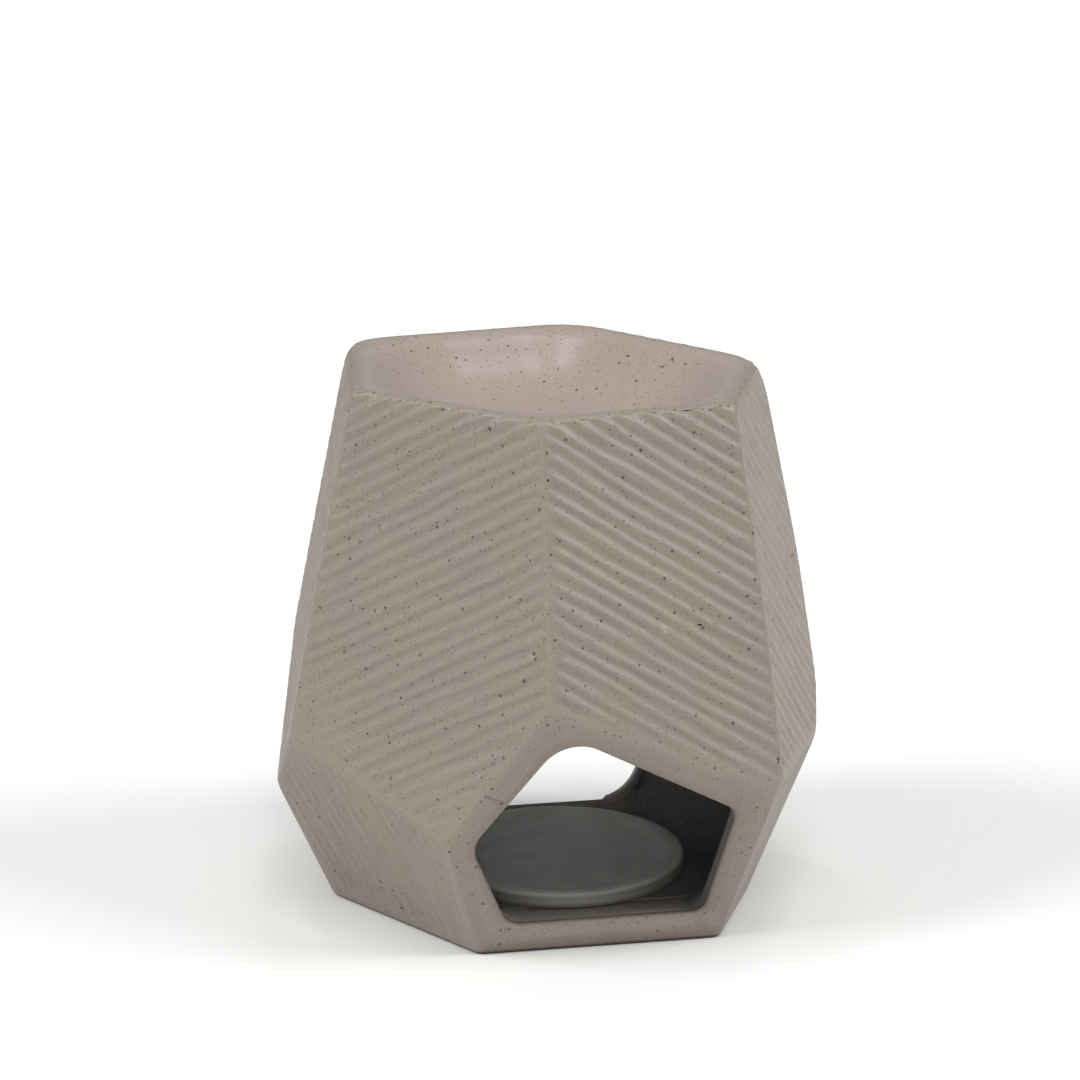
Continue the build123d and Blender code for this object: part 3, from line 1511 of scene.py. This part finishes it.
    def _speckle(
        self, tree: bpy.types.NodeTree, place: Any, share: Any, layer: SpeckleLayer, under: Any
    ) -> Any:
        """Scatter one size of speck.

        Args:
            tree: the material's tree.
            place: coordinates in millimetres.
            share: where there is glaze to hold specks.
            layer: the size and spacing.
            under: colour below the specks.

        Returns:
            The speckled colour.
        """
        cells = add_node(
            tree, "ShaderNodeTexVoronoi", {"Vector": place, "Scale": 1.0 / layer.cell}
        )
        chance = add_node(tree, "ShaderNodeSeparateColor", {0: cells.outputs["Color"]}).outputs
        skewed = add_node(
            tree, "ShaderNodeMath", {0: chance[0], 1: 2.0}, operation="POWER"
        ).outputs[0]
        low, high, edge = (v / layer.cell for v in (layer.smallest, layer.largest, self.speck_edge))
        radius = add_node(tree, "ShaderNodeMapRange", {0: skewed, 3: low, 4: high}).outputs[0]
        gap = add_node(
            tree, "ShaderNodeMath", {0: radius, 1: cells.outputs["Distance"]}, operation="SUBTRACT"
        ).outputs[0]
        spot = add_node(
            tree, "ShaderNodeMapRange", {0: gap, 1: -edge, 2: edge, 4: layer.strength}
        ).outputs[0]
        spot = add_node(
            tree, "ShaderNodeMath", {0: spot, 1: share}, operation="MULTIPLY"
        ).outputs[0]
        tone = add_node(
            tree,
            "ShaderNodeMix",
            {"Factor": chance[1], 6: linear(self.speck), 7: linear(self.pale_speck)},
            data_type="RGBA",
        ).outputs[2]
        return add_node(
            tree, "ShaderNodeMix", {"Factor": spot, 6: under, 7: tone}, data_type="RGBA"
        ).outputs[2]


@dataclass(frozen=True)
class BareClay:
    """Unglazed stoneware, pressed and sponged.

    It gives an even matt grey with faint clouding and a fine sandy tooth. The colours are
    far lighter than fired dark clay, because so little light reaches the chamber that they
    come out dark grey there. The pad's side is painted darker than its top, as painted shade.
    """

    name: str = "bare_stoneware_sponged"
    light: str = "#d6d5d0"
    dark: str = "#c6c5c0"
    grit: str = "#93918d"
    # Painted shade: darker colour for the pad's side, standing in for the shade that falls there.
    side: str = "#75726d"
    rough: float = 0.5
    clouding: Mottle = Mottle(0.16, 0.35, 0.65)
    sand: Mottle = Mottle(3.0, 0.60, 0.72)
    grit_share: float = 0.5
    tooth: float = 0.08  # height of the sandy tooth, mm
    tooth_strength: float = 0.6

    def material(self) -> bpy.types.Material:
        """Build the clay's material.

        Returns:
            The material.
        """
        made = bpy.data.materials.new(self.name)
        made.use_nodes = True
        tree = made.node_tree
        tree.nodes.clear()
        place = add_node(tree, "ShaderNodeTexCoord").outputs["Object"]
        scaled = add_node(
            tree, "ShaderNodeVectorMath", {0: place, "Scale": 1 / MM}, operation="SCALE"
        ).outputs[0]
        cloud = add_node(
            tree,
            "ShaderNodeTexNoise",
            {"Vector": scaled, "Scale": self.clouding.scale, "Detail": 5.0},
        ).outputs[0]
        cloud = add_node(
            tree,
            "ShaderNodeMapRange",
            {0: cloud, 1: self.clouding.low, 2: self.clouding.high},
        ).outputs[0]
        colour = add_node(
            tree,
            "ShaderNodeMix",
            {"Factor": cloud, 6: linear(self.light), 7: linear(self.dark)},
            data_type="RGBA",
        ).outputs[2]
        sand = add_node(
            tree,
            "ShaderNodeTexNoise",
            {"Vector": scaled, "Scale": self.sand.scale, "Detail": 2.0},
        ).outputs[0]
        pits = add_node(
            tree,
            "ShaderNodeMapRange",
            {0: sand, 1: self.sand.low, 2: self.sand.high, 4: self.grit_share},
        ).outputs[0]
        colour = add_node(
            tree,
            "ShaderNodeMix",
            {"Factor": pits, 6: colour, 7: linear(self.grit)},
            data_type="RGBA",
        ).outputs[2]
        # Painted shade: where the side value is set, the colour goes towards the darker side colour.
        side = add_node(tree, "ShaderNodeAttribute", attribute_name="side").outputs["Fac"]
        colour = add_node(
            tree,
            "ShaderNodeMix",
            {"Factor": side, 6: colour, 7: linear(self.side)},
            data_type="RGBA",
        ).outputs[2]
        bump = add_node(
            tree,
            "ShaderNodeBump",
            {"Height": sand, "Strength": self.tooth_strength, "Distance": self.tooth * MM},
        ).outputs[0]
        shader = add_node(
            tree,
            "ShaderNodeBsdfPrincipled",
            {"Base Color": colour, "Roughness": self.rough, "Normal": bump},
        )
        add_node(tree, "ShaderNodeOutputMaterial", {0: shader.outputs[0]})
        return made


# ---------------------------------------------------------------- sub-assemblies


def surface_values(form: ClayForm, places: np.ndarray) -> dict[str, np.ndarray]:
    """Values that the glaze's material reads at each point of the fired body."""
    depth = form.depth(places)
    return {"depth": depth, "satin": form.satin(places)}


def give_true_normals(piece: bpy.types.Object, form: ClayForm, chosen: np.ndarray) -> None:
    """Shade a joint with the form's own normals, so that the two pieces look like one.

    Args:
        piece: mesh whose shading is set.
        form: the fired body.
        chosen: whether each vertex lies on a joint.
    """
    mesh = piece.data
    count = len(mesh.vertices)
    places = np.zeros(count * 3)
    mesh.vertices.foreach_get("co", places)
    places = places.reshape(-1, 3) / MM
    normals = np.array([v.vector for v in mesh.vertex_normals])
    slope = form.slope(places[chosen])
    normals[chosen] = slope / np.linalg.norm(slope, axis=1, keepdims=True)
    mesh.normals_split_custom_set_from_vertices(normals.tolist())


@dataclass
class BodyShell:
    """The cast faceted wall with its two openings, carved all over with flutes."""

    form: ClayForm
    carving: RibCarving = field(default_factory=RibCarving)
    fine: Fineness = field(default_factory=Fineness)
    joint_drop: float = 1.2  # the hidden side of the dish's seat ends this far below the rim

    def build(self) -> bpy.types.Object:
        """Mesh the wall from its CAD faces and soften it.

        Returns:
            The wall, not carved yet.
        """
        mesher = PatchMesher(self.form.shell, self.form, self.fine, self.carving)
        for face in self.form.shell.faces:
            mesher.fill(face)
        places = np.array(mesher.points)
        showing = self.form.shows(places)
        places[showing] = self.form.settle(self.form.slumped(places[showing]))
        joint = ~showing & (places[:, 2] > self.form.ceiling)
        tall = self.form.height - self.form.ceiling
        low = self.form.rim_level(places[joint]) - self.joint_drop - self.form.ceiling
        places[joint, 2] = self.form.ceiling + (places[joint, 2] - self.form.ceiling) * low / tall
        values = surface_values(self.form, places)
        top = places[:, 2] > self.form.ceiling + 0.5
        values["depth"][top] = 0.0
        values.update(self.carving.measure(self.form, places))
        self.rim_loop = self._dish_seat(mesher)
        self.rim_places = places[self.rim_loop]
        piece = new_piece("body_wall", places, mesher.triangles, values)
        LOG.info("body_wall: %d triangles", len(mesher.triangles))
        return piece

    def _dish_seat(self, mesher: PatchMesher) -> list[int]:
        """Divided border of the hole that the dish sits in, at the rim's level.

        Args:
            mesher: the wall's mesher.

        Returns:
            Point numbers round the hole.
        """
        land = [
            f
            for f in self.form.shell.faces
            if f.normal[2] > 0.999 and abs(f.centre[2] - self.form.height) < 0.01
        ]
        loops = [loop for f in land for loop in f.loops]
        spans = [np.ptp(self.form.shell.points[loop], axis=0)[:2].sum() for loop in loops]
        return mesher.border(loops[int(np.argmin(spans))])[0]

    def dress(self, piece: bpy.types.Object, glaze: bpy.types.Material) -> None:
        """Carve the flutes, glaze the wall and put it in the CAD wall's place.

        Args:
            piece: the wall.
            glaze: its material.
        """
        self.carving.carve(piece, glaze)
        places = np.array([v.co for v in piece.data.vertices]) / MM
        weight = np.zeros(len(places), dtype=np.float32)
        piece.data.attributes["rib_weight"].data.foreach_get("value", weight)
        plain = (weight < 1e-4) & (np.abs(self.form.value(places)) < 0.05)
        give_true_normals(piece, self.form, plain)
        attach(piece, ROOT)
        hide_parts("body_shell")
        LOG.info("body_wall carved and glazed")


@dataclass
class OilDish:
    """The shallow bowl let into the rim."""

    ROW_CLEAR = 0.9  # share of a row's distance that its points keep from the edge
    GRID_CLEAR = 0.5  # share of the spacing that the grid keeps from the last row
    HIDDEN_DEPTH = 20.0  # mm, a depth past all glaze

    form: ClayForm
    edge: np.ndarray  # points shared with the wall, in millimetres
    spacing: float = 0.8
    rows: tuple[float, ...] = (0.35, 0.8, 1.3, 1.9)

    def build(self) -> bpy.types.Object:
        """Mesh the bowl's surface, its hidden side and its underside.

        Returns:
            The dish.
        """
        edge = self.edge
        flat = edge[:, :2]
        if self._turns_right(flat):
            edge, flat = edge[::-1], flat[::-1]
        count = len(flat)
        starts, ends = flat, np.roll(flat, -1, axis=0)
        run = ends - starts
        inward = np.array([-run[:, 1], run[:, 0]]).T / np.linalg.norm(run, axis=1)[:, None]
        inner = np.zeros((0, 2))
        for number, distance in enumerate(self.rows):
            line = starts + run * (0.5 if number % 2 == 0 else 0.0) + inward * distance
            clear = border_gap(line, starts, ends) > distance * self.ROW_CLEAR
            inner = np.vstack([inner, line[clear]])
        low, high = flat.min(axis=0), flat.max(axis=0)
        across = np.arange(low[0], high[0], self.spacing)
        up = np.arange(low[1], high[1], self.spacing * math.sqrt(0.75))
        grid = np.array(
            [(x + (j % 2) * self.spacing / 2, y) for j, y in enumerate(up) for x in across]
        )
        grid = grid[inside_loops(grid, starts, ends)]
        margin = self.rows[-1] + self.spacing * self.GRID_CLEAR
        inner = np.vstack([inner, grid[border_gap(grid, starts, ends) > margin]])
        spots = [Vector(p) for p in np.vstack([flat, inner])]
        ring = [(k, (k + 1) % count) for k in range(count)]
        _, _, corners, source, _, _ = delaunay_2d_cdt(spots, ring, [], 1, 1e-7, True)
        top_faces = [tuple(source[c][0] for c in corner) for corner in corners]
        middle = np.vstack([flat, inner])
        top = np.hstack([middle, self.form.bowl_level(np.hstack([middle, middle[:, :1]]))[:, None]])
        top[:count] = edge
        top[count:] = self.form.settle(top[count:], upright=True)
        under = np.hstack([middle, top[:, 2:] - self.form.bowl_wall])
        under[:, 2] = np.minimum(under[:, 2], self.form.ceiling)
        under = self.form.settle(under)
        shift = len(top)
        faces = list(top_faces)
        faces += [tuple(i + shift for i in reversed(face)) for face in top_faces]
        for one, two in ring:
            faces.append((one, one + shift, two + shift, two))
        places = np.vstack([top, under])
        values = surface_values(self.form, places)
        values["satin"][shift:] = 0.0
        values["depth"][:shift] = 0.0
        values["depth"][shift:] = self.HIDDEN_DEPTH
        values["flute"] = np.zeros(len(places))
        piece = new_piece("dish_bowl", places, faces, values)
        chosen = np.zeros(len(places), dtype=bool)
        chosen[:count] = True
        give_true_normals(piece, self.form, chosen)
        LOG.info("dish_bowl: %d faces", len(faces))
        return piece

    @staticmethod
    def _turns_right(flat: np.ndarray) -> bool:
        """Whether a loop runs clockwise."""
        onward = np.roll(flat, -1, axis=0)
        return float((flat[:, 0] * onward[:, 1] - onward[:, 0] * flat[:, 1]).sum()) < 0

    def dress(self, piece: bpy.types.Object, glaze: bpy.types.Material) -> None:
        """Glaze the bowl and put it in the CAD dish's place.

        Args:
            piece: the dish.
            glaze: its material.
        """
        piece.data.materials.append(glaze)
        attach(piece, ROOT)
        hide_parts("oil_dish")
        LOG.info("dish_bowl glazed")


@dataclass
class ChamberFloor:
    """The floor slab, glazed only by the two sills."""

    form: ClayForm
    node: bpy.types.Object
    fine: Fineness = field(default_factory=lambda: Fineness(edge=0.8, plain=1.5))

    def build(self) -> bpy.types.Object:
        """Mesh the slab from its CAD faces.

        Returns:
            The slab.
        """
        surface = CadSurface(self.node)
        mesher = PatchMesher(surface, self.form, self.fine, RibCarving())
        for face in surface.faces:
            mesher.fill(face)
        places = np.array(mesher.points)
        values = surface_values(self.form, places)
        values["flute"] = np.zeros(len(places))
        piece = new_piece("floor_slab", places, mesher.triangles, values)
        piece.data.polygons.foreach_set("use_smooth", [False] * len(piece.data.polygons))
        LOG.info("floor_slab: %d triangles", len(mesher.triangles))
        return piece

    def dress(self, piece: bpy.types.Object, glaze: bpy.types.Material) -> None:
        """Finish the slab and put it in the CAD slab's place.

        Args:
            piece: the slab.
            glaze: its material, mostly bare clay here.
        """
        piece.data.materials.append(glaze)
        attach(piece, ROOT)
        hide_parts("chamber_floor")
        LOG.info("floor_slab dressed")


@dataclass
class TealightSeat:
    """The raised round pad with a shallow recess for the tealight."""

    ROUND_STEPS, LAND_STEPS, DIP_STEPS, FLOOR_STEPS = 7, 4, 8, 10  # rings of each stretch

    centre: tuple[float, float]
    radius: float
    low: float
    high: float
    segments: int = 240
    recess_radius: float = 20.5
    recess_depth: float = 0.8
    roundness: float = 1.6
    under_edge: tuple[float, float] = (0.6, 0.05)  # bevel of the underside, inwards and up
    dip_start: float = 0.8  # the recess begins this far outside its own radius
    dip_run: float = 4.4  # and reaches its floor over this level distance
    # Painted shade: below its top, the pad's side is painted darker.
    side_shade_fade: float = 0.6  # mm below the top over which the side turns darker
    wobbles: tuple[tuple[float, int, float], ...] = ((0.0015, 3, 0.7), (0.001, 5, 0.0))
    wobble_from: float = 5.0  # rings smaller than this stay round
    drawn_in: float = 0.999  # share of the radius, so that the pad stays in the CAD's box

    def profile(self) -> list[tuple[float, float]]:
        """Outline that the pad is turned from.

        Returns:
            Radius and height of each ring, from the underside round to the middle.
        """
        rise = self.high - self.low
        inward, up = self.under_edge
        line = [(self.radius - inward, self.low), (self.radius, self.low + up)]
        for k in range(self.ROUND_STEPS + 1):
            turn = math.pi / 2 * k / self.ROUND_STEPS
            line.append(
                (
                    self.radius - self.roundness * (1 - math.cos(turn)),
                    self.low + rise - self.roundness * (1 - math.sin(turn)),
                )
            )
        outer, start = self.radius - self.roundness, self.recess_radius + self.dip_start
        for k in range(1, self.LAND_STEPS + 1):
            line.append((outer + (start - outer) * k / self.LAND_STEPS, self.high))
        floor = self.high - self.recess_depth
        for k in range(1, self.DIP_STEPS + 1):
            share = k / self.DIP_STEPS
            drop = share * share * (3 - 2 * share)
            line.append((start - self.dip_run * share, self.high - self.recess_depth * drop))
        for k in range(1, self.FLOOR_STEPS + 1):
            line.append(((start - self.dip_run) * (1 - k / self.FLOOR_STEPS), floor))
        return line

    def build(self) -> bpy.types.Object:
        """Turn the profile about the pad's axis.

        Returns:
            The pad.
        """
        line = self.profile()
        turns = np.arange(self.segments) * 2 * math.pi / self.segments
        rings = []
        wobble = 1.0 + sum(share * np.sin(n * turns + start) for share, n, start in self.wobbles)
        for radius, height in line[:-1]:
            reach = radius * self.drawn_in * (wobble if radius > self.wobble_from else 1.0)
            rings.append(
                np.array(
                    [
                        self.centre[0] + reach * np.cos(turns),
                        self.centre[1] + reach * np.sin(turns),
                        np.full(self.segments, height),
                    ]
                ).T
            )
        places = np.vstack(
            rings
            + [
                np.array([[self.centre[0], self.centre[1], line[-1][1]]]),
                np.array([[self.centre[0], self.centre[1], self.low]]),
            ]
        )
        top, base = len(places) - 2, len(places) - 1
        faces: list[tuple[int, ...]] = []
        last = (len(rings) - 1) * self.segments
        for k in range(self.segments):
            onward = (k + 1) % self.segments
            for ring in range(len(rings) - 1):
                a, b = ring * self.segments, (ring + 1) * self.segments
                faces.append((a + k, a + onward, b + onward, b + k))
            faces.append((last + k, last + onward, top))
            faces.append((onward, k, base))
        # Painted shade: points on the side, below the top and outside the recess, get a side value
        # that darkens their colour.
        out = np.linalg.norm(places[:, :2] - self.centre, axis=1)
        beyond = out > self.recess_radius + self.dip_start + 0.1
        side = ease(-places[:, 2], -self.high, self.side_shade_fade - self.high) * beyond
        piece = new_piece("tealight_pad", places, faces, {"side": side})
        LOG.info("tealight_pad: %d faces", len(faces))
        return piece

    def dress(self, piece: bpy.types.Object, clay: bpy.types.Material) -> None:
        """Finish the pad and put it in the CAD pad's place.

        Args:
            piece: the pad.
            clay: its material.
        """
        piece.data.materials.append(clay)
        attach(piece, ROOT)
        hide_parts("tealight_seat")
        LOG.info("tealight_pad dressed")


# ---------------------------------------------------------------- studio


@dataclass(frozen=True)
class SoftLight:
    """One very wide, even light from a fixed direction."""

    name: str
    azimuth: float  # degrees that its source stands round from the front, to the right
    elevation: float
    spread: float  # degrees across its source
    power: float

    def put(self) -> None:
        """Hang the light and turn it towards the middle."""
        lamp = bpy.data.lights.new(self.name, "SUN")
        lamp.energy, lamp.angle = self.power, math.radians(self.spread)
        holder = bpy.data.objects.new(self.name, lamp)
        turn, tip = math.radians(self.azimuth), math.radians(self.elevation)
        source = Vector(
            (math.sin(turn) * math.cos(tip), -math.cos(turn) * math.cos(tip), math.sin(tip))
        )
        holder.rotation_euler = source.to_track_quat("Z", "Y").to_euler()
        bpy.context.scene.collection.objects.link(holder)


@dataclass
class Studio:
    """Pale floor, white surroundings, soft lights and the camera."""

    azimuth: float = -10.5
    pitch: float = 16.39
    lens: float = 116.67
    sensor: float = 36.0
    place: tuple[float, float, float] = (-0.1133, -0.5963, 0.2466)
    floor_side: float = 12.0
    floor_colour: str = "#e7e8e6"
    surround: float = 0.3
    lights: tuple[SoftLight, ...] = (
        SoftLight("left_box", -80.0, 40.0, 28.0, 1.9),
        SoftLight("right_box", 68.0, 40.0, 28.0, 1.75),
        SoftLight("top_box", 0.0, 66.0, 26.0, 0.8),
        SoftLight("front_low", -8.0, 20.0, 22.0, 0.4),
        SoftLight("rear_right", 138.0, 73.0, 9.0, 0.17),
        SoftLight("rear_left", -145.0, 75.0, 9.0, 0.2),
    )

    def build(self) -> None:
        """Lay the floor, hang the lights, set the surroundings and place the camera."""
        self._floor()
        for light in self.lights:
            light.put()
        self._surround()
        self._camera()
        LOG.info("studio ready")

    def _floor(self) -> None:
        """Lay a wide matt paper floor."""
        half = self.floor_side / 2
        mesh = bpy.data.meshes.new("studio_floor")
        mesh.from_pydata(
            [(-half, -half, 0), (half, -half, 0), (half, half, 0), (-half, half, 0)],
            [],
            [(0, 1, 2, 3)],
        )
        made = bpy.data.materials.new("studio_paper")
        made.use_nodes = True
        shader = made.node_tree.nodes["Principled BSDF"]
        shader.inputs["Base Color"].default_value = linear(self.floor_colour)
        shader.inputs["Roughness"].default_value = 0.9
        mesh.materials.append(made)
        floor = bpy.data.objects.new("studio_floor", mesh)
        bpy.context.scene.collection.objects.link(floor)

    def _surround(self) -> None:
        """Set even white light from all round."""
        world = bpy.data.worlds.new("studio_surround")
        world.use_nodes = True
        back = world.node_tree.nodes["Background"]
        back.inputs["Color"].default_value = (1.0, 1.0, 1.0, 1.0)
        back.inputs["Strength"].default_value = self.surround
        scene = bpy.context.scene
        scene.world = world
        scene.view_settings.view_transform = "Standard"
        scene.view_settings.look = "None"

    def _camera(self) -> None:
        """Place the camera and make it the scene's own."""
        turn, tip = math.radians(self.azimuth), math.radians(self.pitch)
        back = Vector(
            (math.sin(turn) * math.cos(tip), -math.cos(turn) * math.cos(tip), math.sin(tip))
        )
        right = Vector((math.cos(turn), math.sin(turn), 0.0))
        up = back.cross(right)
        data = bpy.data.cameras.new("camera")
        data.lens, data.sensor_width = self.lens, self.sensor
        data.clip_start, data.clip_end = 0.01, 50.0
        camera = bpy.data.objects.new("camera", data)
        camera.matrix_world = Matrix.Translation(self.place) @ Matrix(
            (right, up, back)
        ).transposed().to_4x4()
        bpy.context.scene.collection.objects.link(camera)
        bpy.context.scene.camera = camera


def main() -> None:
    """Build every piece around the CAD frame."""
    logging.basicConfig(level=logging.INFO, format="%(name)s: %(message)s")
    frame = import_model()
    nodes = frame["nodes"]
    floor_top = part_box("chamber_floor")[1].z / MM
    form = ClayForm(CadSurface(nodes["body_shell"]), floor_top)
    glaze = StonewareGlaze().material()
    clay = BareClay().material()

    shell = BodyShell(form)
    wall = shell.build()
    shell.dress(wall, glaze)

    dish = OilDish(form, shell.rim_places)
    dish.dress(dish.build(), glaze)

    floor = ChamberFloor(form, nodes["chamber_floor"])
    floor.dress(floor.build(), glaze)

    low, high = (np.array(corner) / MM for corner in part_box("tealight_seat"))
    middle = (low + high) / 2
    seat = TealightSeat(
        (float(middle[0]), float(middle[1])), float(high[1] - low[1]) / 2, low[2], high[2]
    )
    seat.dress(seat.build(), clay)

    Studio().build()


if __name__ == "__main__":
    main()
